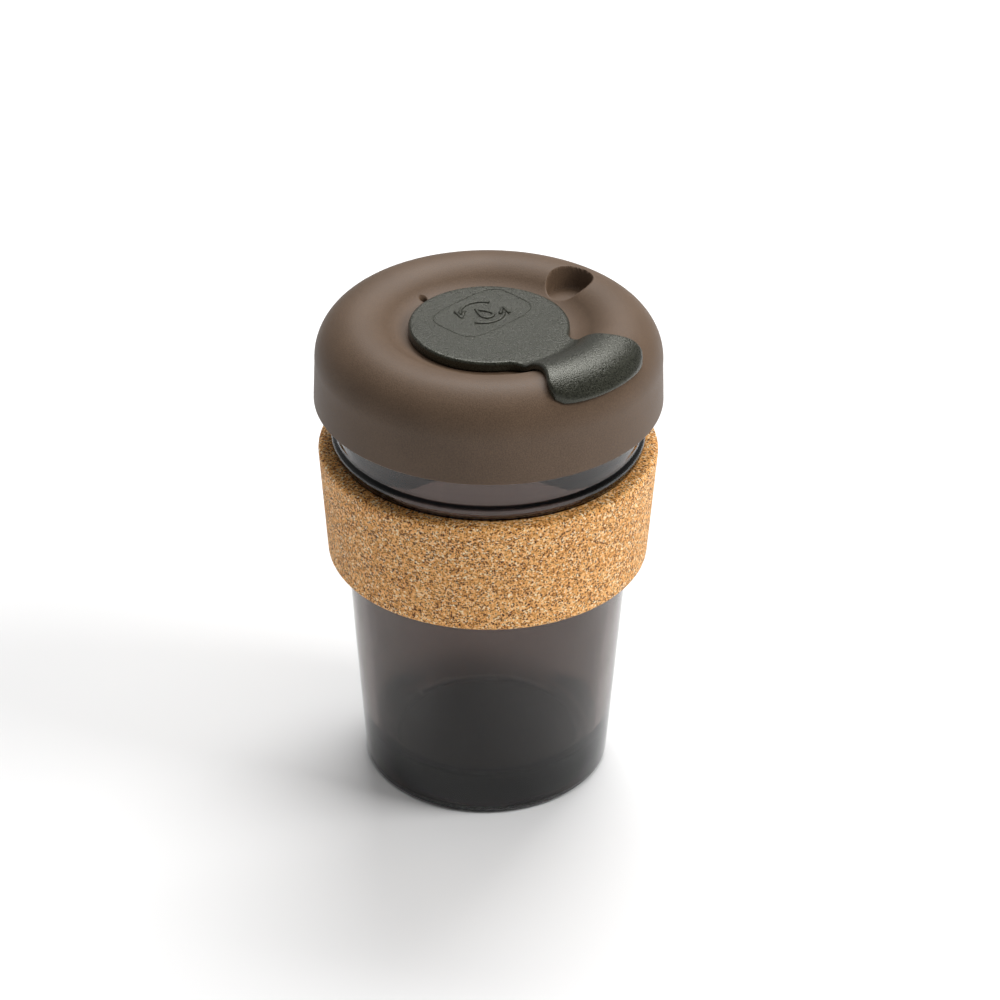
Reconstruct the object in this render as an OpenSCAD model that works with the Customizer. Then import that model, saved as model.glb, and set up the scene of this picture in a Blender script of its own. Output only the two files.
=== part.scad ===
// Reusable glass coffee cup to go, with a cork hand band, a press-fit lid and a swivel plug.
// Millimetres. The origin is the middle of the foot, +Z is up and the sip hole faces -Y.

/* [Glass] */
// Outer radius of the glass at the foot
foot_r = 32.3; // [31:0.1:34]
// Height of the glass from foot to brim
glass_h = 125.4; // [124:0.1:125.5]
// How far the outer wall leans out for each millimetre of height
wall_taper = 0.072; // [0.068:0.001:0.073]
// Thickness of the wall
glass_wall = 3.4; // [3.2:0.1:3.6]
// Thickness of the base
base_t = 8; // [5:0.5:12]
// Depth of the hollow under the foot
punt_depth = 1.2; // [0.6:0.1:2]
// How far the ledge above the band stands proud of the wall
ledge_out = 1.1; // [0.6:0.1:1.4]

/* [Cork band] */
// Height of the band's lower edge above the foot
band_z = 64; // [50:1:66]
// Height of the band itself
band_h = 31.6; // [20:0.2:31.6]
// Thickness of the cork
band_t = 4.8; // [2:0.1:5.5]
// Chamfer on the band's outer edges
band_chamfer = 0.8; // [0:0.1:1.5]

/* [Lid] */
// Height of the lid's lower edge above the foot
lid_z = 109; // [106:0.5:112]
// Outer radius of the lid at its lower edge
lid_r = 44.8; // [44.5:0.1:45.5]
// Radius of the circle that the rim's crest follows
crest_r = 33.2; // [33:0.1:33.4]
// Height of the rim's crest above the foot
crest_z = 132; // [132:0.5:133]
// Rounding of the rim over its shoulder
shoulder_r = 11.2; // [11.1:0.1:11.4]
// Height of the dish floor above the foot
dish_z = 127; // [126.5:0.1:127.5]
// Thickness of the lid's wall
lid_wall = 2; // [1.8:0.1:2]
// Depth of the inner skirt below the crest
skirt_depth = 20; // [16:0.5:22]

/* [Sip hole] */
// Distance of the sip well from the lid's axis
well_offset = 29.6; // [29:0.1:30]
// Radius of the sip well and of the rest for the parked stopper
well_r = 5.7; // [5:0.1:5.8]
// Depth of the wells below the dish floor
well_depth = 1; // [0.5:0.1:1.2]
// Width of the sip hole
sip_w = 9; // [7:0.5:10]
// Length of the sip hole along the lid's radius
sip_l = 5.4; // [4.5:0.1:6]
// Angle that the plug turns through from shut to parked
park_angle = 90; // [75:1:100]
// Radius of the air hole
vent_r = 0.9; // [0.5:0.1:1.5]

/* [Plug] */
// Radius of the plug's round disc
disc_r = 20.5; // [19.5:0.1:21]
// Height of the disc's top above the foot
disc_z = 130; // [129.5:0.1:130.5]
// Height of the lobe's crest above the foot
lobe_z = 134.3; // [133.8:0.1:134.8]
// Width of the lobe around the rim
lobe_w = 31.4; // [29:0.2:34]
// Width of the neck between the disc and the lobe, at the disc's edge
neck_w = 18.8; // [16:0.2:20]
// Radius of the pivot stud
stud_r = 4; // [3:0.1:5]
// Gap between the plug and the lid
plug_gap = 0.3; // [0.3:0.05:0.5]

/* [Hidden] */
$fn = 128;
over = 1;                // how far a cutter runs past the face that it cuts
stud_gap = 0.06;         // running clearance of the stud in the lid

// outer radius of the glass wall at height z
function wall_r(z) = foot_r + wall_taper * z;

// glass
heel = 2.2;              // chamfered heel of the foot
foot_w = 6;              // width of the ring that the glass stands on
bowl_r = 9;              // rounding where the bowl's floor meets its wall
brim_r = glass_wall / 2;
brim_z = glass_h - brim_r;
brim_mid_r = wall_r(brim_z) - brim_r;
ledge_h = 4.4;           // height of the ledge
ledge_z = band_z + band_h + 0.1 + ledge_h / 2;
ledge_arc = (ledge_h * ledge_h / 4 + ledge_out * ledge_out) / (2 * ledge_out);

// lid
shoulder_z = crest_z - shoulder_r;
crest_rise = crest_z - dish_z;
// the rim's inner slope is an S of two arcs of the shoulder's radius
dish_r = crest_r - sqrt(4 * crest_rise * shoulder_r - crest_rise * crest_rise);
dish_arc_z = dish_z + shoulder_r;
skirt_out = 36.6;        // outer radius of the inner skirt
skirt_t = 1.6;
skirt_z = crest_z - skirt_depth;
well_z = dish_z - well_depth;
well_floor_t = 1.6;
well_wall = 1.5;
vent_offset = 23.5;

// seal ring
seal_z = 116;
seal_h = 2.4;
seal_bite = 0.8;         // depth of the groove that holds the ring
seal_gap = 0.1;          // gap between the ring and the glass
seal_fit = 0.03;         // gap between the ring and its groove

// plug
valley_r = 21.9;         // where the lobe starts to rise
valley_z = disc_z - 0.1;
drape_r = 12.2;          // rounding of the lobe over the rim
drape_mid_r = crest_r;
drape_mid_z = lobe_z - drape_r;
lobe_run = drape_mid_r - valley_r;
lobe_rise = lobe_z - valley_z;
rise_r = (lobe_run * lobe_run + lobe_rise * lobe_rise) / (2 * lobe_rise) - drape_r;
blend = drape_r / (drape_r + rise_r);
blend_r = drape_mid_r - lobe_run * blend;
blend_z = drape_mid_z + (valley_z + rise_r - drape_mid_z) * blend;
lobe_mid = 36.8;         // distance of the widest part of the lobe from the pivot
lobe_half_l = 6.5;
lobe_steps = 96;
tip_z = 128.2;           // lower edge of the lobe's outer tip, which stands off the rim
neck_flare = 0.25;       // how far each side of the neck leans out per millimetre
neck_start = 12;         // distance from the pivot where the neck starts inside the disc
under_plug = shoulder_z; // a level below everything that the plug's top form needs
stud_nose_r = 0.8 * stud_r;
barb_r = stud_r + 1.2;
barb_top = dish_z - lid_wall - 0.2;
barb_h = 1.4;
stud_z = 121.6;

// stopper
stopper_r = well_r - 0.35;
stopper_z = well_z + 0.12;
spigot_h = 1.8;
spigot_gap = 0.25;
stopper_gap = 0.15;      // gap between the stopper and the lobe above it
stopper_steps = 6;       // cones that make up the stopper's sloping top

// ---------------------------------------------------------------- glass

// half section of the glass without its bowl
module glass_outside() {
    polygon([
        [0, 0], [foot_r - heel / 2, 0], [wall_r(heel), heel],
        [wall_r(brim_z), brim_z], [0, brim_z]
    ]);
    intersection() {
        translate([wall_r(ledge_z) + ledge_out - ledge_arc, ledge_z]) circle(ledge_arc);
        translate([wall_r(ledge_z) - over, ledge_z - ledge_h / 2]) square([ledge_out + over, ledge_h]);
    }
}

// half section of the bowl, with a rounded corner at its floor
module bowl_inside() {
    floor_r = wall_r(base_t + bowl_r) - glass_wall;
    polygon([
        [0, base_t + bowl_r], [floor_r, base_t + bowl_r],
        [brim_mid_r - brim_r, brim_z], [brim_mid_r - brim_r, glass_h + over], [0, glass_h + over]
    ]);
    translate([0, base_t]) square([floor_r - bowl_r, bowl_r + over]);
    translate([floor_r - bowl_r, base_t + bowl_r]) circle(bowl_r);
}

module glass_tumbler() {
    color([0.34, 0.33, 0.35, 0.55])
    rotate_extrude() {
        difference() {
            glass_outside();
            bowl_inside();
            translate([0, -over]) square([foot_r - heel / 2 - foot_w, punt_depth + over]);
        }
        translate([brim_mid_r, brim_z]) circle(brim_r);
    }
}

// ---------------------------------------------------------------- cork band

module cork_band() {
    gap = 0.05;
    top = band_z + band_h;
    color([0.80, 0.62, 0.38])
    rotate_extrude()
    polygon([
        [wall_r(band_z) + gap, band_z],
        [wall_r(band_z) + band_t - band_chamfer, band_z],
        [wall_r(band_z + band_chamfer) + band_t, band_z + band_chamfer],
        [wall_r(top - band_chamfer) + band_t, top - band_chamfer],
        [wall_r(top) + band_t - band_chamfer, top],
        [wall_r(top) + gap, top]
    ]);
}

// ---------------------------------------------------------------- lid

// half section of the space under the lid's outer surface, moved inwards by inset
module lid_form(inset, bottom = lid_z) {
    side_r = crest_r + shoulder_r - inset;
    // where the two arcs of the S meet
    meet = (shoulder_r - inset) / (2 * shoulder_r);
    meet_r = crest_r - (crest_r - dish_r) * meet;
    meet_z = shoulder_z + (dish_arc_z - shoulder_z) * meet;
    polygon([[0, bottom], [lid_r - inset, bottom], [side_r, shoulder_z], [0, shoulder_z]]);
    intersection() {
        translate([crest_r, shoulder_z]) circle(shoulder_r - inset);
        translate([meet_r, bottom]) square([shoulder_r * 3, crest_z - bottom + over]);
    }
    difference() {
        translate([0, shoulder_z - over]) square([meet_r, meet_z - shoulder_z + over]);
        translate([0, dish_z - inset]) square([dish_r, shoulder_r]);
        translate([dish_r, dish_arc_z]) circle(shoulder_r + inset);
    }
}

// the cup that hangs under the dish around a well
module well_pod() {
    pod_r = well_r + well_wall;
    translate([0, -well_offset, well_z - well_floor_t]) cylinder(r = pod_r, h = crest_z - well_z);
}

module well_cut() {
    translate([0, -well_offset, well_z]) cylinder(r = well_r, h = crest_z);
}

// sip hole, as a slot that runs around the rim
module sip_slot(grow, z, h) {
    round_r = sip_l / 2 + grow;
    side = (sip_w - sip_l) / 2;
    translate([0, -well_offset, z]) {
        for (s = [-1, 1]) translate([s * side, 0, 0]) cylinder(r = round_r, h = h);
        translate([-side, -round_r, 0]) cube([2 * side, 2 * round_r, h]);
    }
}

module lid_shell() {
    color([0.43, 0.385, 0.345])
    difference() {
        union() {
            rotate_extrude() {
                difference() {
                    lid_form(0);
                    lid_form(lid_wall, lid_z - over);
                }
                // inner skirt, with the groove for the seal ring
                difference() {
                    intersection() {
                        translate([skirt_out - skirt_t, skirt_z]) square([skirt_t, skirt_depth]);
                        lid_form(lid_wall / 2);
                    }
                    translate([skirt_out - seal_bite, seal_z]) square([seal_bite + over, seal_h]);
                }
            }
            intersection() {
                rotate_extrude() intersection() {
                    lid_form(lid_wall / 2);
                    square([skirt_out - skirt_t / 2, crest_z]);
                }
                union() {
                    well_pod();
                    rotate([0, 0, park_angle]) well_pod();
                }
            }
        }
        well_cut();
        rotate([0, 0, park_angle]) well_cut();
        sip_slot(0, well_z - well_floor_t - over, well_floor_t + 2 * over);
        translate([0, 0, lid_z]) cylinder(r = stud_r + stud_gap, h = crest_z - lid_z);
        translate([0, vent_offset, lid_z]) cylinder(r = vent_r, h = crest_z - lid_z);
    }
}

module lid_seal_ring() {
    inner = skirt_out - seal_bite + seal_fit;
    outer = wall_r(seal_z) - glass_wall - seal_gap;
    lip = 0.7;
    color([0.88, 0.87, 0.84])
    rotate_extrude()
    polygon([
        [inner, seal_z + seal_fit], [skirt_out, seal_z + seal_fit], [outer, seal_z + lip],
        [outer, seal_z + seal_h - lip], [skirt_out, seal_z + seal_h - seal_fit],
        [inner, seal_z + seal_h - seal_fit]
    ]);
}

// ---------------------------------------------------------------- plug

// height of the lobe's underside at radius r on the rim's inner slope
function lobe_under(r) =
    r < (crest_r + dish_r) / 2
        ? dish_arc_z - sqrt(pow(shoulder_r - plug_gap, 2) - pow(r - dish_r, 2))
        : shoulder_z + sqrt(pow(shoulder_r + plug_gap, 2) - pow(crest_r - r, 2));

// half width of the neck at distance d from the pivot
function neck_half(d) = neck_w / 2 + neck_flare * (d - disc_r);

// outline of the neck and the lobe seen from above
module lobe_outline() {
    polygon([
        [-neck_half(neck_start), -neck_start], [neck_half(neck_start), -neck_start],
        [neck_half(lobe_mid), -lobe_mid], [-neck_half(lobe_mid), -lobe_mid]
    ]);
    polygon([
        for (i = [0 : lobe_steps - 1])
            let (a = 360 * i / lobe_steps)
            [cos(a) * lobe_w / 2, sin(a) * lobe_half_l - lobe_mid]
    ]);
}

// half section under the plug's top surface: the disc, the rise and the rounded lobe
module plug_top() {
    translate([0, under_plug]) square([blend_r, valley_z - under_plug]);
    difference() {
        translate([valley_r, under_plug]) square([blend_r - valley_r, blend_z - under_plug]);
        translate([valley_r, valley_z + rise_r]) circle(rise_r);
    }
    intersection() {
        translate([drape_mid_r, drape_mid_z]) circle(drape_r);
        translate([blend_r, under_plug]) square([drape_r * 2, drape_r * 2]);
    }
}

module swivel_plug() {
    color([0.30, 0.31, 0.29]) {
        difference() {
            union() {
                intersection() {
                    rotate_extrude() plug_top();
                    translate([0, 0, shoulder_z]) linear_extrude(lobe_z - shoulder_z + over) lobe_outline();
                }
                cylinder(r = disc_r, h = disc_z);
            }
            rotate_extrude() {
                lid_form(-plug_gap);
                square([crest_r + shoulder_r, dish_z]);
            }
            // the lobe's tip is thin and stands off the shoulder
            rotate_extrude() translate([lobe_mid, lid_z]) square([shoulder_r, tip_z - lid_z]);
        }
        translate([0, 0, barb_top - barb_h]) cylinder(r = barb_r, h = barb_h);
        translate([0, 0, stud_z])
            cylinder(r1 = stud_nose_r, r2 = barb_r, h = barb_top - barb_h - stud_z);
        translate([0, 0, barb_top - over]) cylinder(r = stud_r, h = disc_z - barb_top);
    }
}

// soft stopper under the lobe: a puck in the sip well, with a spigot in the sip hole
module sip_stopper() {
    color([0.24, 0.25, 0.24])
    difference() {
        union() {
            translate([0, -well_offset, stopper_z]) cylinder(r = stopper_r, h = crest_z - stopper_z);
            sip_slot(-spigot_gap, stopper_z - spigot_h, spigot_h + over);
        }
        rotate_extrude() polygon(concat(
            [[0, crest_z], [0, dish_z + plug_gap - stopper_gap]],
            [
                for (i = [0 : stopper_steps])
                    let (r = dish_r + (crest_r - dish_r) * i / stopper_steps)
                    [r, lobe_under(r) - stopper_gap]
            ],
            [[crest_r, crest_z + over]]
        ));
    }
}

glass_tumbler();
cork_band();
lid_shell();
lid_seal_ring();
swivel_plug();
sip_stopper();
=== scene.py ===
"""Looks of a glass coffee cup to go: smoke glass, cork hand band, press-fit lid and swivel plug.

Sizes are in millimetres and become metres when a mesh is made. The cup stands on z = 0, its axis is
the z axis and the sip hole faces -y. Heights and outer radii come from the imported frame, and the other
dimensions repeat those of the CAD.
"""
import math

import bmesh
import bpy
import numpy as np
from mathutils import Matrix, Vector, noise


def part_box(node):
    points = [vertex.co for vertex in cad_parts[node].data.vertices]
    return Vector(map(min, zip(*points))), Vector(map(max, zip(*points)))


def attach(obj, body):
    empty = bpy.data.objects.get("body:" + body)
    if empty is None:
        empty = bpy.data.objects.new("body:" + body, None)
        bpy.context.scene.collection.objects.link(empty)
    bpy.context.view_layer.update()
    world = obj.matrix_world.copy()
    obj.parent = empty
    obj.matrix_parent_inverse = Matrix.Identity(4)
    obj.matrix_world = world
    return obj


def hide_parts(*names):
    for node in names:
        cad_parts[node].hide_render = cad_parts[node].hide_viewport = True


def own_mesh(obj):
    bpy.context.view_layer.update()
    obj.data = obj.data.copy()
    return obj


MM = 0.001
# points closer together than SAME_PLACE are one point, and those closer to the axis than ON_AXIS lie on it
SAME_PLACE = 1e-5
ON_AXIS = 1e-6
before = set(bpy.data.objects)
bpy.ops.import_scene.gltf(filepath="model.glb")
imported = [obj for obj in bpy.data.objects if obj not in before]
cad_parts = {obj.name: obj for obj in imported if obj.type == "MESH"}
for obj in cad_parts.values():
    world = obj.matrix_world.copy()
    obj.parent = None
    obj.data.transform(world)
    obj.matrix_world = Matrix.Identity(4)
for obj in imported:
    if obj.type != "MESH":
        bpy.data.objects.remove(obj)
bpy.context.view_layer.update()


def span(node):
    """Lowest and highest corner of a CAD node, in millimetres."""
    low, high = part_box(node)
    return [v / MM for v in low], [v / MM for v in high]


# ---------------------------------------------------------------- dimensions

# glass
GLASS_H = span("glass_tumbler")[1][2]
FOOT_R = 32.3
WALL_TAPER = 0.072
GLASS_WALL = 3.4
BASE_T = 8.0
BOWL_FILLET = 9.0
PUNT_DEPTH = 1.2
PUNT_DOME = 0.5
PUNT_R = 25.2
FOOT_FILLET = 2.4
HEEL_Z = 8.0
LEDGE_OUT = 1.1
LEDGE_HALF = 2.2

# cork band
BAND_Z0 = span("cork_band")[0][2]
BAND_Z1 = span("cork_band")[1][2]
BAND_T = 4.8
BAND_GAP = 0.05
BAND_FILLET_IN = 0.3
BAND_FILLET_OUT = 1.3
SKIN_FADE = 0.6
LUMP_SCALE = 0.9
LUMP_DEPTH = 0.05
PIT_SCALE = 2.3
PIT_DEPTH = 0.16
PIT_LEVEL = 0.25
PIT_SHIFT = (7, 3, 5)

# lid
LID_Z = span("lid_shell")[0][2]
LID_R = span("lid_shell")[1][0]
CREST_Z = span("lid_shell")[1][2]
CREST_R = 33.2
SHOULDER_R = 11.2
DISH_Z = 127.0
LID_WALL = 2.0
SKIRT_R = 36.6
SKIRT_T = 1.6
SKIRT_Z = 112.0
WELL_OFFSET = 29.6
WELL_R = 5.7
WELL_Z = 126.0
WELL_FLOOR = 1.6
WELL_WALL = 1.5
WELL_SOFT = 0.35
VENT_OFFSET = 23.5
VENT_R = 0.9
SIP_W = 9.0
SIP_L = 5.4
PIVOT_R = 4.06

# seal ring
SEAL_Z0 = span("lid_seal_ring")[0][2]
SEAL_Z1 = span("lid_seal_ring")[1][2]
SEAL_R = span("lid_seal_ring")[1][0]
SEAL_BITE = 0.8
SEAL_PLAY = 0.03
SEAL_BEAD = 0.28

# plug
DISC_R = span("swivel_plug")[1][0]
DISC_Z = 130.0
LOBE_Z = span("swivel_plug")[1][2]
LOBE_MID = 36.8
LOBE_HALF_W = 15.7
LOBE_HALF_L = 6.5
NECK_MID = 26.0
NECK_REACH = 10.0
NECK_HALF = 9.4
NECK_FLARE = 0.25
NECK_BLEND = 3.6
VALLEY_R = 21.9
VALLEY_Z = 129.9
DRAPE_R = 12.2
PLUG_GAP = 0.3
DISC_HOLLOW = 0.15
EDGE_FILLET = 0.85
EDGE_SHARE = 0.42
HEEL_FILLET = 0.3
HEEL_SHARE = 0.2
TIP_Z = 128.2
STUD_R = 4.0
STUD_ROOT = 1.2
BARB_R = 5.2
BARB_TOP = 124.8
BARB_H = 1.4
STUD_Z = span("swivel_plug")[0][2]

# sip stopper: REST is its height over the well's floor, and GAP its gap below the lobe
STOPPER_GAP = 0.15
STOPPER_REST = 0.12
STOPPER_Z = span("sip_stopper")[0][2]
STOPPER_R = span("sip_stopper")[1][0]

# derived: the rim's inner slope is an S of two arcs of the shoulder's radius
CREST_RISE = CREST_Z - DISH_Z
SHOULDER_Z = CREST_Z - SHOULDER_R
DISH_R = CREST_R - math.sqrt(4 * CREST_RISE * SHOULDER_R - CREST_RISE**2)
DISH_ARC_Z = DISH_Z + SHOULDER_R
MEET_ANGLE = math.degrees(math.atan2(DISH_ARC_Z - SHOULDER_Z, DISH_R - CREST_R))


def wall_r(z):
    """Outer radius of the glass at height z."""
    return FOOT_R + WALL_TAPER * z


# ---------------------------------------------------------------- camera

CAMERA_AZIMUTH = -46.1
CAMERA_ELEVATION = 31.53
CAMERA_ROLL = 0.49
CAMERA_DISTANCE = 962.0
CAMERA_TARGET = (3.70, -0.80, 76.2)
CAMERA_LENS = 132.6


def make_camera():
    """A long lens, looking down at the cup from its front left."""
    azimuth, elevation, roll = map(math.radians, (CAMERA_AZIMUTH, CAMERA_ELEVATION, CAMERA_ROLL))
    back = Vector((
        math.sin(azimuth) * math.cos(elevation),
        -math.cos(azimuth) * math.cos(elevation),
        math.sin(elevation),
    ))
    data = bpy.data.cameras.new("camera")
    data.sensor_width = 36.0
    data.lens = CAMERA_LENS
    data.clip_start = 0.01
    data.clip_end = 50.0
    camera = bpy.data.objects.new("camera", data)
    bpy.context.scene.collection.objects.link(camera)
    turn = back.to_track_quat("Z", "Y").to_matrix() @ Matrix.Rotation(roll, 3, "Z")
    place = (Vector(CAMERA_TARGET) + back * CAMERA_DISTANCE) * MM
    camera.matrix_world = Matrix.Translation(place) @ turn.to_4x4()
    bpy.context.scene.camera = camera


# ---------------------------------------------------------------- profiles

def arc(mid_r, mid_z, radius, start, end, steps):
    """Points of an arc in the r-z plane, with angles in degrees from +r towards +z."""
    angles = np.radians(np.linspace(start, end, steps + 1))
    return [(mid_r + radius * math.cos(a), mid_z + radius * math.sin(a)) for a in angles]


def unit(v):
    """v at length 1."""
    return v / np.linalg.norm(v)


def rounded(corners, steps=6):
    """A closed outline through corners (r, z, fillet), each rounded by its fillet."""
    points = []
    for i, (r, z, fillet) in enumerate(corners):
        here = np.array((r, z), float)
        if not fillet:
            points.append((r, z))
            continue
        before = unit(np.array(corners[i - 1][:2], float) - here)
        after = unit(np.array(corners[(i + 1) % len(corners)][:2], float) - here)
        half = math.acos(np.clip(before @ after, -1, 1)) / 2
        centre = here + unit(before + after) * fillet / math.sin(half)
        start = here + before * fillet / math.tan(half) - centre
        end = here + after * fillet / math.tan(half) - centre
        sweep = math.pi - 2 * half
        for k in range(steps + 1):
            t = k / steps
            blend = (start * math.sin((1 - t) * sweep) + end * math.sin(t * sweep)) / math.sin(sweep)
            points.append(tuple(centre + blend))
    return points


def divided(points, longest, closed=True):
    """The same outline with no stretch longer than longest."""
    result = []
    for i, a in enumerate(points):
        result.append(a)
        if i + 1 == len(points) and not closed:
            break
        b = points[(i + 1) % len(points)]
        if a[0] < ON_AXIS and b[0] < ON_AXIS:
            continue
        pieces = math.ceil(math.dist(a, b) / longest)
        result += [tuple(np.array(a) + (np.array(b) - np.array(a)) * k / pieces) for k in range(1, pieces)]
    return result


# ---------------------------------------------------------------- meshes

def add_mesh(name, points, faces):
    """A smooth-shaded object from points in millimetres."""
    mesh = bpy.data.meshes.new(name)
    mesh.from_pydata([tuple(c * MM for c in p) for p in points], [], faces)
    mesh.validate()
    bm = bmesh.new()
    bm.from_mesh(mesh)
    bmesh.ops.recalc_face_normals(bm, faces=bm.faces)
    bm.to_mesh(mesh)
    bm.free()
    mesh.polygons.foreach_set("use_smooth", [True] * len(mesh.polygons))
    mesh.update()
    obj = bpy.data.objects.new(name, mesh)
    bpy.context.scene.collection.objects.link(obj)
    return obj


def revolve(name, profile, steps, shape=None):
    """A closed profile of (r, z) turned about the z axis. shape(x, y, z, i) may move a point."""
    points, rings = [], []
    for i, (r, z) in enumerate(profile):
        around = 1 if r < ON_AXIS else steps
        rings.append(range(len(points), len(points) + around))
        for k in range(around):
            a = 2 * math.pi * k / steps
            p = (r * math.cos(a), r * math.sin(a), z)
            points.append(shape(*p, i) if shape else p)
    faces = []
    for i, ring in enumerate(rings):
        other = rings[(i + 1) % len(rings)]
        if len(ring) == 1 and len(other) == 1:
            continue
        for k in range(steps):
            j = (k + 1) % steps
            quad = [ring[k % len(ring)], ring[j % len(ring)], other[j % len(other)], other[k % len(other)]]
            faces.append(list(dict.fromkeys(quad)))
    return add_mesh(name, points, faces)


def slot_outline(width, length, steps=16):
    """A slot with round ends, width along x and length along y."""
    radius = length / 2
    side = (width - length) / 2
    right = [(side + radius * math.sin(a), -radius * math.cos(a)) for a in np.linspace(0, math.pi, steps)]
    return right + [(-x, -y) for x, y in right]


def loft(name, outline, levels, centre=(0, 0)):
    """A closed solid of one outline at several levels, each (z, growth of the outline)."""
    count = len(outline)
    points, faces = [], []
    for z, grow in levels:
        for x, y in outline:
            size = math.hypot(x, y)
            points.append((centre[0] + x * (1 + grow / size), centre[1] + y * (1 + grow / size), z))
    for level in range(len(levels) - 1):
        for k in range(count):
            j = (k + 1) % count
            a, b = level * count, (level + 1) * count
            faces.append([a + k, a + j, b + j, b + k])
    faces.append(list(range(count))[::-1])
    faces.append([(len(levels) - 1) * count + k for k in range(count)])
    return add_mesh(name, points, faces)


def close_seams(obj):
    """Joins points that lie in the same place, which closes a mesh along its spine."""
    bm = bmesh.new()
    bm.from_mesh(obj.data)
    bmesh.ops.remove_doubles(bm, verts=bm.verts, dist=SAME_PLACE * MM)
    bmesh.ops.recalc_face_normals(bm, faces=bm.faces)
    bm.to_mesh(obj.data)
    bm.free()


def combine(obj, other, operation):
    """Joins other to obj or cuts it from obj, and removes other."""
    modifier = obj.modifiers.new("combine", "BOOLEAN")
    modifier.operation = operation
    modifier.solver = "EXACT"
    modifier.object = other
    bpy.context.view_layer.update()
    evaluated = obj.evaluated_get(bpy.context.evaluated_depsgraph_get())
    mesh = bpy.data.meshes.new_from_object(evaluated)
    obj.modifiers.clear()
    old = obj.data
    obj.data = mesh
    bpy.data.meshes.remove(old)
    bpy.data.objects.remove(other)


def smoothstep(value, low, high):
    """0 at low and 1 at high, with a smooth rise between them."""
    t = np.clip((value - low) / (high - low), 0, 1)
    return t * t * (3 - 2 * t)


def put(obj, body, slot, material, *nodes):
    """obj rides on a body, has its material and stands for CAD nodes."""
    obj.data.materials.clear()
    obj.data.materials.append(material)
    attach(obj, body)
    if nodes:
        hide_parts(*nodes)


# ---------------------------------------------------------------- glass

GLASS_STEPS = 256


def make_glass(material):
    """Tumbler with a punt under its foot, a round bowl, a ledge above the band and a round brim."""
    brim_r = GLASS_WALL / 2
    brim_z = GLASS_H - brim_r
    brim_mid = wall_r(brim_z) - brim_r
    ledge_z = BAND_Z1 + 0.1 + LEDGE_HALF
    bowl_z = BASE_T + BOWL_FILLET
    floor_r = wall_r(bowl_z) - GLASS_WALL
    under = rounded([
        (0, PUNT_DEPTH + PUNT_DOME, 0), (PUNT_R - 1, PUNT_DEPTH, 1.0), (PUNT_R + 0.6, 0, 0.8),
        (FOOT_R, 0, FOOT_FILLET), (wall_r(HEEL_Z), HEEL_Z, 0),
    ])
    wall = [(wall_r(z), z) for z in np.linspace(HEEL_Z + 4, ledge_z - LEDGE_HALF, 28)]
    ledge = [
        (wall_r(ledge_z + t * LEDGE_HALF) + LEDGE_OUT * (1 - t**4) ** 2, ledge_z + t * LEDGE_HALF)
        for t in np.linspace(-1, 1, 25)[1:]
    ]
    upper = [(wall_r(z), z) for z in np.linspace(ledge_z + LEDGE_HALF + 1, brim_z - 1, 10)]
    brim = arc(brim_mid, brim_z, brim_r, 0, 180, 14)
    inside = [(wall_r(z) - GLASS_WALL, z) for z in np.linspace(brim_z - 2, bowl_z + 1, 40)]
    bowl = arc(floor_r - BOWL_FILLET, bowl_z, BOWL_FILLET, 0, -90, 16)
    floor = [(floor_r - BOWL_FILLET - 4, BASE_T), (8, BASE_T + 0.25), (0, BASE_T + 0.3)]
    profile = under + wall + ledge + upper + brim + inside + bowl + floor
    put(revolve("glass_body", profile, GLASS_STEPS), "cup", "smoke_glass", material, "glass_tumbler")


# ---------------------------------------------------------------- cork band

CORK_STEPS = 640


def make_cork(material):
    """Sleeve of pressed cork with soft edges and a slightly pitted skin."""
    corners = [
        (wall_r(BAND_Z0) + BAND_GAP, BAND_Z0, BAND_FILLET_IN),
        (wall_r(BAND_Z0) + BAND_T, BAND_Z0, BAND_FILLET_OUT),
        (wall_r(BAND_Z1) + BAND_T, BAND_Z1, BAND_FILLET_OUT),
        (wall_r(BAND_Z1) + BAND_GAP, BAND_Z1, BAND_FILLET_IN),
    ]
    profile = divided(rounded(corners), 0.45)

    def pitted(x, y, z, _):
        r = math.hypot(x, y)
        skin = smoothstep(r - wall_r(z), SKIN_FADE, BAND_T - SKIN_FADE)
        lumps = noise.noise(Vector((x, y, z)) * LUMP_SCALE)
        pits = max(0.0, noise.noise(Vector((x, y, z)) * PIT_SCALE + Vector(PIT_SHIFT)) - PIT_LEVEL)
        sink = skin * (LUMP_DEPTH + LUMP_DEPTH * lumps + PIT_DEPTH * pits)
        return x * (1 - sink / r), y * (1 - sink / r), z

    put(revolve("cork_sleeve", profile, CORK_STEPS, pitted), "cup", "cork", material, "cork_band")


# ---------------------------------------------------------------- lid

LID_STEPS = 600


def lid_top(r):
    """Height of the lid's top surface at radius r, without its wells."""
    split = (CREST_R + DISH_R) / 2
    if r <= DISH_R:
        return DISH_Z
    if r <= split:
        return DISH_ARC_Z - math.sqrt(SHOULDER_R**2 - (r - DISH_R) ** 2)
    return SHOULDER_Z + math.sqrt(max(0.0, SHOULDER_R**2 - (r - CREST_R) ** 2))


def well_distance(x, y):
    """Distance from the nearer of the sip well and the parking well."""
    return min(math.hypot(x, y + WELL_OFFSET), math.hypot(x - WELL_OFFSET, y))


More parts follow.
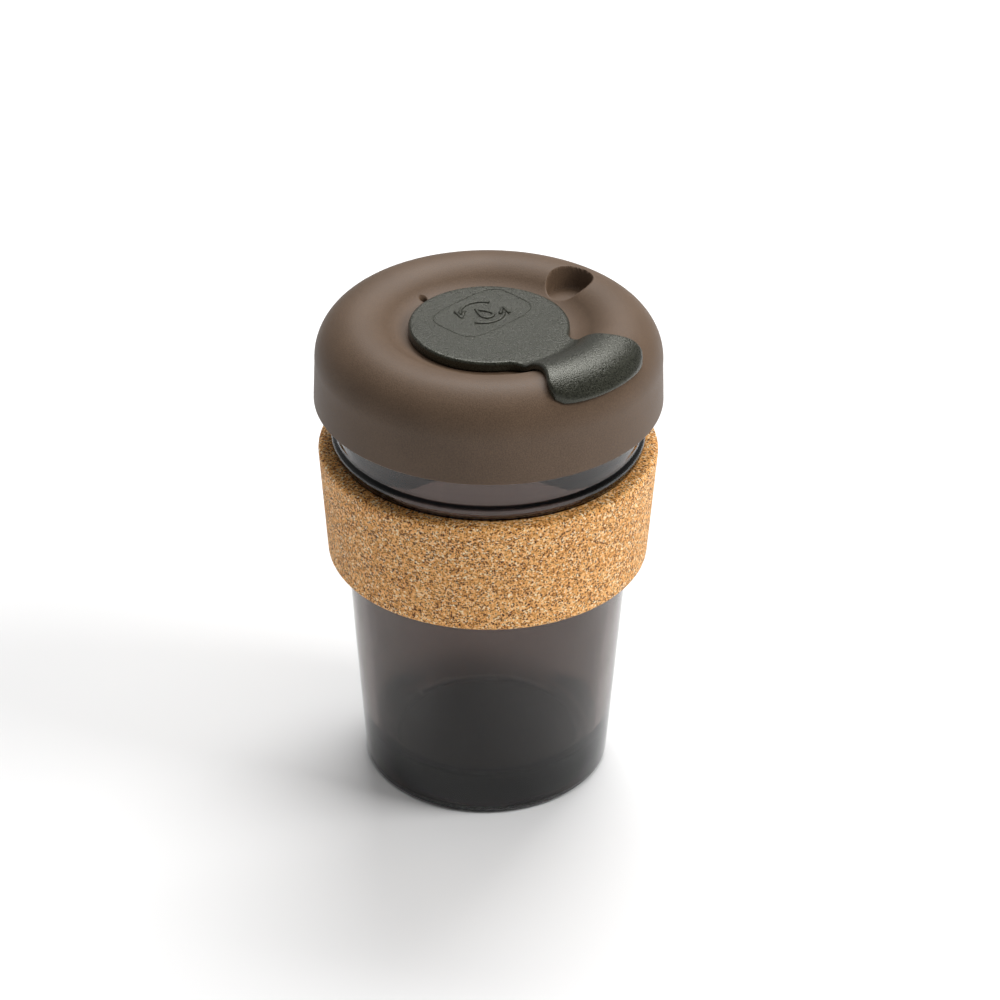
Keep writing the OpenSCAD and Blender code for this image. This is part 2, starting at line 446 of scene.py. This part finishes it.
def make_lid(material):
    """Lid with a deep skirt, a round rim, a dish with two wells, and an inner skirt."""
    hole = [(PIVOT_R, DISH_Z - LID_WALL + 0.3), (PIVOT_R, DISH_Z - 0.4), (PIVOT_R + 0.12, DISH_Z - 0.12)]
    top = [(r, lid_top(r)) for r in np.linspace(PIVOT_R + 0.4, 21, 14)]
    top += [(r, lid_top(r)) for r in np.arange(21.4, WELL_OFFSET + WELL_R + 1, 0.25)]
    edge = math.degrees(math.acos((top[-1][0] + 0.3 - CREST_R) / SHOULDER_R))
    shoulder = arc(CREST_R, SHOULDER_Z, SHOULDER_R, edge, 0, 22)
    top_count = len(hole) + len(top)
    side = rounded([
        (CREST_R + SHOULDER_R, SHOULDER_Z - 1.5, 0), (LID_R, LID_Z, 0.55), (LID_R - LID_WALL, LID_Z, 0.5),
        (CREST_R + SHOULDER_R - LID_WALL, SHOULDER_Z - 1, 0),
    ])
    inner_r = SHOULDER_R - LID_WALL
    skirt_in = SKIRT_R - SKIRT_T
    outside = math.acos((SKIRT_R - CREST_R) / inner_r)
    inside = math.acos((skirt_in - CREST_R) / inner_r)
    channel = arc(CREST_R, SHOULDER_Z, inner_r, 0, math.degrees(outside) - 3, 14)
    groove = SKIRT_R - SEAL_BITE
    skirt = rounded([
        (SKIRT_R, SHOULDER_Z + inner_r * math.sin(outside), 0.4),
        (SKIRT_R, SEAL_Z1 + SEAL_PLAY, 0.12), (groove, SEAL_Z1 + SEAL_PLAY, 0.1),
        (groove, SEAL_Z0 - SEAL_PLAY, 0.1), (SKIRT_R, SEAL_Z0 - SEAL_PLAY, 0.12),
        (SKIRT_R, SKIRT_Z, 0.5), (skirt_in, SKIRT_Z, 0.5),
        (skirt_in, SHOULDER_Z + inner_r * math.sin(inside), 0),
    ])
    below = arc(CREST_R, SHOULDER_Z, inner_r, math.degrees(inside) + 2, MEET_ANGLE, 16)
    below += arc(DISH_R, DISH_ARC_Z, SHOULDER_R + LID_WALL, MEET_ANGLE - 180, -90, 14)
    plate = [(r, DISH_Z - LID_WALL) for r in np.linspace(DISH_R - 0.5, PIVOT_R + 0.3, 16)]
    profile = hole + top + shoulder + divided(side, 2.0, False) + channel + skirt + below + plate
    under_start = len(profile) - len(below) - len(plate) - 1

    def wells(x, y, z, i):
        """Sinks the top to a well's floor, and the underside to a pod around it."""
        reach = well_distance(x, y)
        if i < top_count:
            sink = smoothstep(reach, WELL_R + WELL_SOFT, WELL_R - WELL_SOFT)
            z += (WELL_Z - z) * sink
        elif i >= under_start:
            pod = smoothstep(reach, WELL_R + WELL_WALL + WELL_SOFT, WELL_R + WELL_WALL - WELL_SOFT)
            z += (WELL_Z - WELL_FLOOR - z) * pod
        return x, y, z

    lid = revolve("lid_moulding", profile, LID_STEPS, wells)
    mouth = [(WELL_Z - 3.0, 0), (WELL_Z - 0.5, 0), (WELL_Z - 0.15, 0.12), (WELL_Z + 0.3, 0.55)]
    combine(lid, loft("sip_cutter", slot_outline(SIP_W, SIP_L), mouth, (0, -WELL_OFFSET)), "DIFFERENCE")
    round_hole = [(VENT_R * math.cos(a), VENT_R * math.sin(a)) for a in np.linspace(0, 2 * math.pi, 33)[:-1]]
    vent = [(DISH_Z - 3.0, 0), (DISH_Z + 0.2, 0), (DISH_Z + 3.0, 0.9)]
    combine(lid, loft("vent_cutter", round_hole, vent, (0, VENT_OFFSET)), "DIFFERENCE")
    smooth_flats(lid)
    put(lid, "lid", "lid_plastic", material, "lid_shell")


def smooth_flats(obj):
    """Smooth shading that leans towards the larger faces, so that flats stay flat beside a fillet."""
    obj.data.polygons.foreach_set("use_smooth", [True] * len(obj.data.polygons))
    modifier = obj.modifiers.new("weighted", "WEIGHTED_NORMAL")
    modifier.keep_sharp = True
    modifier.weight = 60


def make_seal(material):
    """Soft ring in the inner skirt's groove, with a rounded bead that faces the glass."""
    inner = SKIRT_R - SEAL_BITE + SEAL_PLAY
    mid = (SEAL_Z0 + SEAL_Z1) / 2
    slope = (SEAL_Z1 - SEAL_Z0) / 2 * 0.75
    corners = [
        (inner, SEAL_Z0, 0.1), (SKIRT_R + 0.1, SEAL_Z0, 0.2),
        (SEAL_R - SEAL_BEAD, mid - slope, 0.2), (SEAL_R, mid, 0.2), (SEAL_R - SEAL_BEAD, mid + slope, 0.2),
        (SKIRT_R + 0.1, SEAL_Z1, 0.2), (inner, SEAL_Z1, 0.1),
    ]
    put(revolve("seal_lips", rounded(corners, 4), 192), "lid", "seal_rubber", material, "lid_seal_ring")


# ---------------------------------------------------------------- plug

PLUG_STEPS = 720
UNDER_RINGS = 24
TOP_RINGS = 60
# the spine lies along y under the disc and the lobe, and every point of the outline is seen from it
SPINE_MID = -23.0
SPINE_HALF = 12.0
OUTLINE_NEAR = 3.0
OUTLINE_FAR = 40.0


def plug_inside(x, y):
    """Negative inside the plug's outline: a disc, a flared neck and an oval lobe, blended together."""
    disc = math.hypot(x, y) - DISC_R
    neck = max(abs(x) - NECK_HALF + NECK_FLARE * (y + DISC_R), abs(y + NECK_MID) - NECK_REACH)
    across, along = x / LOBE_HALF_W, (y + LOBE_MID) / LOBE_HALF_L
    size = math.hypot(across, along)
    slope = math.hypot(across / LOBE_HALF_W, along / LOBE_HALF_L) / size if size > 0 else 1
    return blended(blended(disc, neck), (size - 1) / slope)


def blended(a, b):
    """The smaller of two distances, with a fillet where they cross."""
    mix = max(0.0, 1 - abs(a - b) / NECK_BLEND)
    return min(a, b) - mix * mix * NECK_BLEND / 4


def plug_outline():
    """The plug seen from above: points of a spine, of the outline around it, and the inward normals."""
    spine, points = [], []
    for k in range(PLUG_STEPS):
        a = 2 * math.pi * k / PLUG_STEPS
        start = SPINE_MID + SPINE_HALF * math.sin(a)
        low, high = OUTLINE_NEAR, OUTLINE_FAR
        for _ in range(40):
            reach = (low + high) / 2
            x, y = reach * math.cos(a), start + reach * math.sin(a)
            low, high = (reach, high) if plug_inside(x, y) < 0 else (low, reach)
        spine.append((0.0, start))
        points.append((x, y))
    points = np.array(points)
    along = np.roll(points, -1, 0) - np.roll(points, 1, 0)
    normals = np.stack([-along[:, 1], along[:, 0]], 1)
    return np.array(spine), points, normals / np.linalg.norm(normals, axis=1)[:, None]


def plug_top(x, y):
    """Height of the plug's top: a faintly hollow disc, then a wave that rises over the rim."""
    r = math.hypot(x, y)
    run, rise = CREST_R - VALLEY_R, LOBE_Z - VALLEY_Z
    rise_r = (run * run + rise * rise) / (2 * rise) - DRAPE_R
    meet_r = CREST_R - run * DRAPE_R / (DRAPE_R + rise_r)
    if r >= meet_r:
        return LOBE_Z - DRAPE_R + math.sqrt(DRAPE_R**2 - (r - CREST_R) ** 2)
    if r > VALLEY_R:
        return VALLEY_Z + rise_r - math.sqrt(rise_r**2 - (r - VALLEY_R) ** 2)
    return VALLEY_Z - DISC_HOLLOW * smoothstep(VALLEY_R - r, 1, 14)


def plug_under(x, y):
    """Height of the plug's underside, which follows the lid at a small gap but leaves it at the tip."""
    r = math.hypot(x, y)
    split = CREST_R + (SHOULDER_R + PLUG_GAP) * math.cos(math.radians(MEET_ANGLE))
    if r <= DISH_R:
        return DISH_Z + PLUG_GAP
    if r <= split:
        return DISH_ARC_Z - math.sqrt((SHOULDER_R - PLUG_GAP) ** 2 - (r - DISH_R) ** 2)
    drop = (SHOULDER_R + PLUG_GAP) ** 2 - (r - CREST_R) ** 2
    return max(TIP_Z, SHOULDER_Z + math.sqrt(max(0.0, drop)))


def make_plug(material):
    """One soft moulding: disc, neck and lobe with rounded edges, and a barbed pivot stud below."""
    spine, outline, inward = plug_outline()
    thick = np.array([plug_top(x, y) - plug_under(x, y) for x, y in outline])
    edge = np.minimum(EDGE_FILLET, EDGE_SHARE * thick)
    heel = np.minimum(HEEL_FILLET, HEEL_SHARE * thick)
    rings = []

    def ring(inset, height):
        """Adds the outline moved inwards by inset, each point at its height(x, y, k)."""
        at = outline + inward * inset[:, None]
        rings.append([(x, y, height(x, y, k)) for k, (x, y) in enumerate(at)])

    for share in np.linspace(0, 0.94, UNDER_RINGS):
        at = spine + (outline + inward * 0.6 - spine) * share
        rings.append([(x, y, plug_under(x, y)) for x, y in at])
    for angle in np.radians((0, 30, 60, 90)):
        inset = heel * (1 - math.sin(angle))
        ring(inset, lambda x, y, k, a=angle: plug_under(x, y) + heel[k] * (1 - math.cos(a)))
    for angle in np.radians(np.linspace(0, 90, 9)):
        inset = edge * (1 - math.cos(angle))
        ring(inset, lambda x, y, k, a=angle: plug_top(x, y) - edge[k] * (1 - math.sin(a)))
    start = outline + inward * edge[:, None]
    for share in np.linspace(1, 0, TOP_RINGS)[1:]:
        at = spine + (start - spine) * share
        rings.append([(x, y, plug_top(x, y)) for x, y in at])

    faces = []
    for k in range(PLUG_STEPS):
        j = (k + 1) % PLUG_STEPS
        for a in range(0, (len(rings) - 1) * PLUG_STEPS, PLUG_STEPS):
            b = a + PLUG_STEPS
            faces.append([a + k, a + j, b + j, b + k])
    plug = add_mesh("plug_moulding", [p for r in rings for p in r], faces)
    close_seams(plug)
    corners = [
        (0, DISC_Z - STUD_ROOT, 0), (STUD_R, DISC_Z - STUD_ROOT, 0), (STUD_R, BARB_TOP, 0.3),
        (BARB_R, BARB_TOP, 0.3), (BARB_R, BARB_TOP - BARB_H, 0.5),
        (STUD_R * 0.8, STUD_Z, 0.5), (0, STUD_Z, 0),
    ]
    combine(plug, revolve("stud", rounded(corners), 64), "UNION")
    smooth_flats(plug)
    put(plug, "plug", "plug_plastic", material, "swivel_plug")


def make_stopper(material):
    """Soft puck in the sip well, with a spigot in the sip hole, squeezed where the plug parks."""
    levels = [(STOPPER_Z, -0.9), (STOPPER_Z + 0.4, -0.3), (WELL_Z + 0.5, -0.25)]
    spigot = loft("spigot", slot_outline(SIP_W, SIP_L), levels, (0, -WELL_OFFSET))
    base = WELL_Z + STOPPER_REST
    corners = [(0, base, 0), (STOPPER_R, base, 0.5), (STOPPER_R, CREST_Z, 0.4), (0, CREST_Z, 0)]

    def under_lobe(x, y, z, _):
        y -= WELL_OFFSET
        return x, y, min(z, plug_under(x, y) - STOPPER_GAP)

    profile = divided(rounded(corners), 0.5)
    puck = revolve("sip_puck", profile, 96, under_lobe)
    combine(puck, spigot, "UNION")
    smooth_flats(puck)
    put(puck, "plug", "stopper_rubber", material, "sip_stopper")
    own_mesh(puck)


# ---------------------------------------------------------------- mark on the disc

MARK_X, MARK_Y = 3.0, 5.4
FRAME_HALF_W = 12.4
FRAME_HALF_H = 8.4
FRAME_SQUARENESS = 4.0
DROP_SIZE = 2.3
DROP_SHIFT = 0.4
ARROW_R = 5.6
ARROW_SWEEP = 120
ARROW_STARTS = (25, 205)
HEAD_SIZE = 1.9
HEAD_SPREAD = 140
# width and height of a line
THIN_LINE = (0.4, 0.16)
BOLD_LINE = (0.9, 0.36)


def stroke(path, line, closed=False):
    """A raised rounded line along a path of (x, y) on the plug's top."""
    width, height = line
    path = np.array(path, float)
    if closed:
        along = np.roll(path, -1, 0) - np.roll(path, 1, 0)
    else:
        along = np.gradient(path, axis=0)
    side = np.stack([-along[:, 1], along[:, 0]], 1)
    side /= np.linalg.norm(side, axis=1)[:, None]
    angles = np.linspace(0, 2 * math.pi, 13)[:-1]
    points, faces = [], []
    for (x, y), (sx, sy) in zip(path, side):
        z = plug_top(x, y)
        for a in angles:
            out = math.cos(a) * width / 2
            points.append((x + sx * out, y + sy * out, z + math.sin(a) * height))
    around, count = len(angles), len(path)
    for i in range(count if closed else count - 1):
        j = (i + 1) % count
        for k in range(around):
            m = (k + 1) % around
            faces.append([i * around + k, i * around + m, j * around + m, j * around + k])
    if not closed:
        faces.append(list(range(around)))
        faces.append([(count - 1) * around + k for k in range(around)])
    return points, faces


def drop_outline(x, y, size, steps=48):
    """A water drop that points towards +y."""
    result = []
    for a in np.linspace(0, 2 * math.pi, steps, endpoint=False):
        pinch = math.sin(a / 2) ** 1.6
        result.append((x + size * math.sin(a) * pinch, y + size * 1.25 * math.cos(a)))
    return result


def make_mark(material):
    """A generic raised mark: a drop between two curved arrows, in a thin rounded frame."""
    power = 2 / FRAME_SQUARENESS
    border = [
        (
            MARK_X + FRAME_HALF_W * math.copysign(abs(math.cos(a)) ** power, math.cos(a)),
            MARK_Y + FRAME_HALF_H * math.copysign(abs(math.sin(a)) ** power, math.sin(a)),
        )
        for a in np.linspace(0, 2 * math.pi, 121)[:-1]
    ]
    parts = [stroke(border, THIN_LINE, closed=True)]
    parts.append(stroke(drop_outline(MARK_X, MARK_Y - DROP_SHIFT, DROP_SIZE), BOLD_LINE, closed=True))
    for start in ARROW_STARTS:
        sweep = np.radians(np.linspace(start, start + ARROW_SWEEP, 40))
        bow = [(MARK_X + ARROW_R * math.cos(a), MARK_Y + ARROW_R * math.sin(a)) for a in sweep]
        parts.append(stroke(bow, BOLD_LINE))
        tip, heading = np.array(bow[-1]), sweep[-1] + math.pi / 2
        head = [
            tip + HEAD_SIZE * np.array((math.cos(heading + turn), math.sin(heading + turn)))
            for turn in (math.radians(HEAD_SPREAD), 0, math.radians(-HEAD_SPREAD))
        ]
        tip_line = [head[0] + (head[1] - head[0]) * t for t in np.linspace(0, 1, 6)]
        tip_line += [head[1] + (head[2] - head[1]) * t for t in np.linspace(0, 1, 6)[1:]]
        parts.append(stroke(tip_line, BOLD_LINE))
    points, faces = [], []
    for part_points, part_faces in parts:
        faces += [[len(points) + k for k in face] for face in part_faces]
        points += part_points
    put(add_mesh("plug_mark", points, faces), "plug", "plug_plastic", material)


# ---------------------------------------------------------------- materials

def new_material(name):
    """A node material with object coordinates in millimetres, and its shader and coordinate socket."""
    material = bpy.data.materials.new(name)
    material.use_nodes = True
    nodes, links = material.node_tree.nodes, material.node_tree.links
    shader = nodes["Principled BSDF"]
    coordinates = nodes.new("ShaderNodeTexCoord")
    scale = nodes.new("ShaderNodeVectorMath")
    scale.operation = "SCALE"
    scale.inputs["Scale"].default_value = 1 / MM
    links.new(coordinates.outputs["Object"], scale.inputs[0])
    return material, nodes, links, shader, scale.outputs[0]


def noise_node(nodes, links, where, scale, detail=3.0, roughness=0.55):
    """Noise of scale cells per millimetre."""
    node = nodes.new("ShaderNodeTexNoise")
    node.inputs["Scale"].default_value = scale
    node.inputs["Detail"].default_value = detail
    node.inputs["Roughness"].default_value = roughness
    links.new(where, node.inputs["Vector"])
    return node


def ramp_node(nodes, links, value, stops):
    """A colour ramp of (position, colour) stops fed by value."""
    node = nodes.new("ShaderNodeValToRGB")
    ramp = node.color_ramp
    while len(ramp.elements) < len(stops):
        ramp.elements.new(0.5)
    for element, (position, color) in zip(ramp.elements, stops):
        element.position = position
        element.color = (*color, 1)
    links.new(value, node.inputs["Fac"])
    return node


def range_node(nodes, links, value, low, high, from_low=0.0, from_high=1.0):
    """value, moved from one range to the range low to high."""
    node = nodes.new("ShaderNodeMapRange")
    node.inputs["From Min"].default_value = from_low
    node.inputs["From Max"].default_value = from_high
    node.inputs["To Min"].default_value = low
    node.inputs["To Max"].default_value = high
    links.new(value, node.inputs["Value"])
    return node.outputs["Result"]


def multiply(nodes, links, a, b):
    """Product of two colours."""
    node = nodes.new("ShaderNodeMix")
    node.data_type = "RGBA"
    node.blend_type = "MULTIPLY"
    node.inputs["Factor"].default_value = 1.0
    links.new(a, node.inputs["A"])
    links.new(b, node.inputs["B"])
    return node.outputs["Result"]


def bump_node(nodes, links, height, distance, strength=1.0, before=None):
    """A bump of distance millimetres, laid over the bump before it."""
    node = nodes.new("ShaderNodeBump")
    node.inputs["Distance"].default_value = distance * MM
    node.inputs["Strength"].default_value = strength
    links.new(height, node.inputs["Height"])
    if before:
        links.new(before.outputs["Normal"], node.inputs["Normal"])
    return node


def moulded_plastic(name, color, grain, depth, rough, speckle, specular=0.5, sheen_color=(1, 1, 1)):
    """Matt moulded plastic: a fine eroded grain, a speckle of the same size, and slight changes of tone."""
    material, nodes, links, shader, where = new_material(name)
    fine = noise_node(nodes, links, where, 1 / grain, 2.0, 0.6)
    broad = noise_node(nodes, links, where, 0.06, 3.0)
    dark = tuple(c * 0.92 for c in color)
    light = tuple(c * 1.08 for c in color)
    tone = ramp_node(nodes, links, broad.outputs["Fac"], [(0.3, dark), (0.7, light)])
    low, high = (1 - speckle,) * 3, (1 + speckle,) * 3
    dots = ramp_node(nodes, links, fine.outputs["Fac"], [(0.32, low), (0.68, high)])
    color_out = multiply(nodes, links, tone.outputs["Color"], dots.outputs["Color"])
    links.new(color_out, shader.inputs["Base Color"])
    shader.inputs["Specular IOR Level"].default_value = specular
    shader.inputs["Specular Tint"].default_value = (*sheen_color, 1)
    gloss = range_node(nodes, links, fine.outputs["Fac"], rough - 0.08, rough + 0.08, 0.3, 0.7)
    links.new(gloss, shader.inputs["Roughness"])
    bump = bump_node(nodes, links, fine.outputs["Fac"], depth)
    links.new(bump.outputs["Normal"], shader.inputs["Normal"])
    return material


GRANULE_SCALE = 2.3


def cork_material():
    """Pressed cork: pale granules, brown and near-black flecks, and fine open pores."""
    material, nodes, links, shader, where = new_material("pressed_cork")
    warp = noise_node(nodes, links, where, 1.4, 3.0)
    shift = nodes.new("ShaderNodeVectorMath")
    shift.operation = "MULTIPLY_ADD"
    links.new(warp.outputs["Color"], shift.inputs[0])
    shift.inputs[1].default_value = (0.5, 0.5, 0.5)
    links.new(where, shift.inputs[2])
    granules = nodes.new("ShaderNodeTexVoronoi")
    granules.inputs["Scale"].default_value = GRANULE_SCALE
    links.new(shift.outputs[0], granules.inputs["Vector"])
    pick = nodes.new("ShaderNodeSeparateColor")
    links.new(granules.outputs["Color"], pick.inputs["Color"])
    tint = ramp_node(nodes, links, pick.outputs["Red"], [
        (0.0, (0.30, 0.10, 0.02)), (0.10, (0.54, 0.22, 0.045)), (0.30, (0.78, 0.37, 0.10)),
        (0.60, (0.94, 0.49, 0.16)), (0.80, (1.0, 0.60, 0.24)), (1.0, (1.0, 0.88, 0.62)),
    ])
    spot = nodes.new("ShaderNodeMath")
    spot.operation = "SUBTRACT"
    links.new(pick.outputs["Green"], spot.inputs[0])
    links.new(granules.outputs["Distance"], spot.inputs[1])
    fleck = ramp_node(nodes, links, spot.outputs[0], [
        (0.0, (1, 1, 1)), (0.28, (1, 1, 1)), (0.34, (0.16, 0.08, 0.045)), (1.0, (0.02, 0.008, 0.004)),
    ])
    speckled = multiply(nodes, links, tint.outputs["Color"], fleck.outputs["Color"])
    fine = noise_node(nodes, links, where, 3.5, 4.0, 0.65)
    grain = ramp_node(nodes, links, fine.outputs["Fac"], [(0.30, (0.62, 0.53, 0.45)), (0.52, (1, 1, 1))])
    links.new(multiply(nodes, links, speckled, grain.outputs["Color"]), shader.inputs["Base Color"])
    gloss = range_node(nodes, links, fine.outputs["Fac"], 0.62, 0.85)
    links.new(gloss, shader.inputs["Roughness"])
    cells = bump_node(nodes, links, granules.outputs["Distance"], 0.12, 0.6)
    pores = bump_node(nodes, links, fine.outputs["Fac"], 0.10, 0.7, cells)
    links.new(pores.outputs["Normal"], shader.inputs["Normal"])
    return material


def glass_material():
    """Smoke-grey glass, tinted through its thickness, with the faint ripple of pressed glass."""
    material, nodes, links, shader, where = new_material("smoke_glass")
    shader.inputs["Base Color"].default_value = (0.36, 0.305, 0.285, 1)
    shader.inputs["Transmission Weight"].default_value = 1.0
    shader.inputs["IOR"].default_value = 1.5
    shader.inputs["Specular IOR Level"].default_value = 0.28
    ripple = noise_node(nodes, links, where, 0.05, 1.0)
    gloss = range_node(nodes, links, ripple.outputs["Fac"], 0.0, 0.03)
    links.new(gloss, shader.inputs["Roughness"])
    bump = bump_node(nodes, links, ripple.outputs["Fac"], 0.6, 0.5)
    links.new(bump.outputs["Normal"], shader.inputs["Normal"])
    volume = nodes.new("ShaderNodeVolumeAbsorption")
    volume.inputs["Color"].default_value = (0.34, 0.28, 0.25, 1)
    volume.inputs["Density"].default_value = 200.0
    links.new(volume.outputs["Volume"], nodes["Material Output"].inputs["Volume"])
    return material


# ---------------------------------------------------------------- studio

LIGHT_BASE = 0.07
LIGHT_AIM = (0, 0, 0.08)
FLOOR_HALF = 6000


def aim(obj, target):
    """Turns obj so that its -z axis points at target."""
    direction = Vector(target) - obj.location
    obj.rotation_euler = direction.to_track_quat("-Z", "Y").to_euler()


def softbox(name, azimuth, elevation, distance, size, watts):
    """A rectangular area light that looks at the cup, with its distance and size in metres."""
    data = bpy.data.lights.new(name, "AREA")
    data.shape = "RECTANGLE"
    data.size, data.size_y = size
    data.energy = watts
    light = bpy.data.objects.new(name, data)
    a, e = math.radians(azimuth), math.radians(elevation)
    light.location = (
        distance * math.sin(a) * math.cos(e),
        -distance * math.cos(a) * math.cos(e),
        distance * math.sin(e) + LIGHT_BASE,
    )
    bpy.context.scene.collection.objects.link(light)
    aim(light, LIGHT_AIM)
    return light


def overhead(strength, spread):
    """A wide soft light from straight above, for the floor."""
    data = bpy.data.lights.new("overhead", "SUN")
    data.energy = strength
    data.angle = math.radians(spread)
    light = bpy.data.objects.new("overhead", data)
    bpy.context.scene.collection.objects.link(light)
    return light


def make_surround():
    """A pale surround that is bright around the horizon and darker overhead."""
    world = bpy.data.worlds.new("studio")
    world.use_nodes = True
    nodes, links = world.node_tree.nodes, world.node_tree.links
    where = nodes.new("ShaderNodeTexCoord")
    part = nodes.new("ShaderNodeSeparateXYZ")
    links.new(where.outputs["Generated"], part.inputs[0])
    stops = [(0.0, (0.46, 0.46, 0.46)), (0.6, (0.10, 0.10, 0.10))]
    tone = ramp_node(nodes, links, part.outputs["Z"], stops)
    links.new(tone.outputs["Color"], nodes["Background"].inputs["Color"])
    nodes["Background"].inputs["Strength"].default_value = 1.0
    return world


def make_studio():
    """Pale floor, pale surround, a fill from the front, a softbox behind and a wide light overhead."""
    corners = [(x * FLOOR_HALF, y * FLOOR_HALF, 0) for x, y in ((-1, -1), (1, -1), (1, 1), (-1, 1))]
    floor = add_mesh("floor", corners, [[0, 1, 2, 3]])
    material, nodes, links, shader, where = new_material("floor_paper")
    tone = noise_node(nodes, links, where, 0.004, 2.0)
    stops = [(0.3, (0.86, 0.86, 0.86)), (0.7, (0.88, 0.88, 0.88))]
    ramp = ramp_node(nodes, links, tone.outputs["Fac"], stops)
    links.new(ramp.outputs["Color"], shader.inputs["Base Color"])
    shader.inputs["Roughness"].default_value = 0.9
    floor.data.materials.append(material)
    bpy.context.scene.world = make_surround()
    fill = softbox("fill", azimuth=30, elevation=42, distance=0.9, size=(0.4, 0.4), watts=5.2)
    for light in (fill, overhead(strength=1.0, spread=60)):
        light.visible_glossy = False
        light.visible_transmission = False
    softbox("back", azimuth=120, elevation=58, distance=1.0, size=(0.7, 0.4), watts=8.4)
    bpy.context.scene.view_settings.view_transform = "Standard"


# ---------------------------------------------------------------- assembly

make_camera()
make_studio()
TAUPE = (0.108, 0.070, 0.045)
DARK_GREEN_GREY = (0.021, 0.0215, 0.0155)
PALE_GREY = (0.62, 0.60, 0.56)
NEAR_BLACK = (0.035, 0.036, 0.031)
lid_plastic = moulded_plastic(
    "taupe_plastic", TAUPE, grain=0.35, depth=0.05, rough=0.53, speckle=0.18, specular=0.3
)
plug_plastic = moulded_plastic(
    "dark_plug_plastic", DARK_GREEN_GREY, grain=0.42, depth=0.12, rough=0.31, speckle=0.6,
    sheen_color=(1.0, 1.0, 0.88),
)
seal_rubber = moulded_plastic("pale_seal_rubber", PALE_GREY, grain=0.3, depth=0.02, rough=0.6, speckle=0.05)
stopper_rubber = moulded_plastic(
    "dark_stopper_rubber", NEAR_BLACK, grain=0.3, depth=0.02, rough=0.6, speckle=0.1
)
make_glass(glass_material())
make_cork(cork_material())
make_lid(lid_plastic)
make_seal(seal_rubber)
make_plug(plug_plastic)
make_stopper(stopper_rubber)
make_mark(plug_plastic)
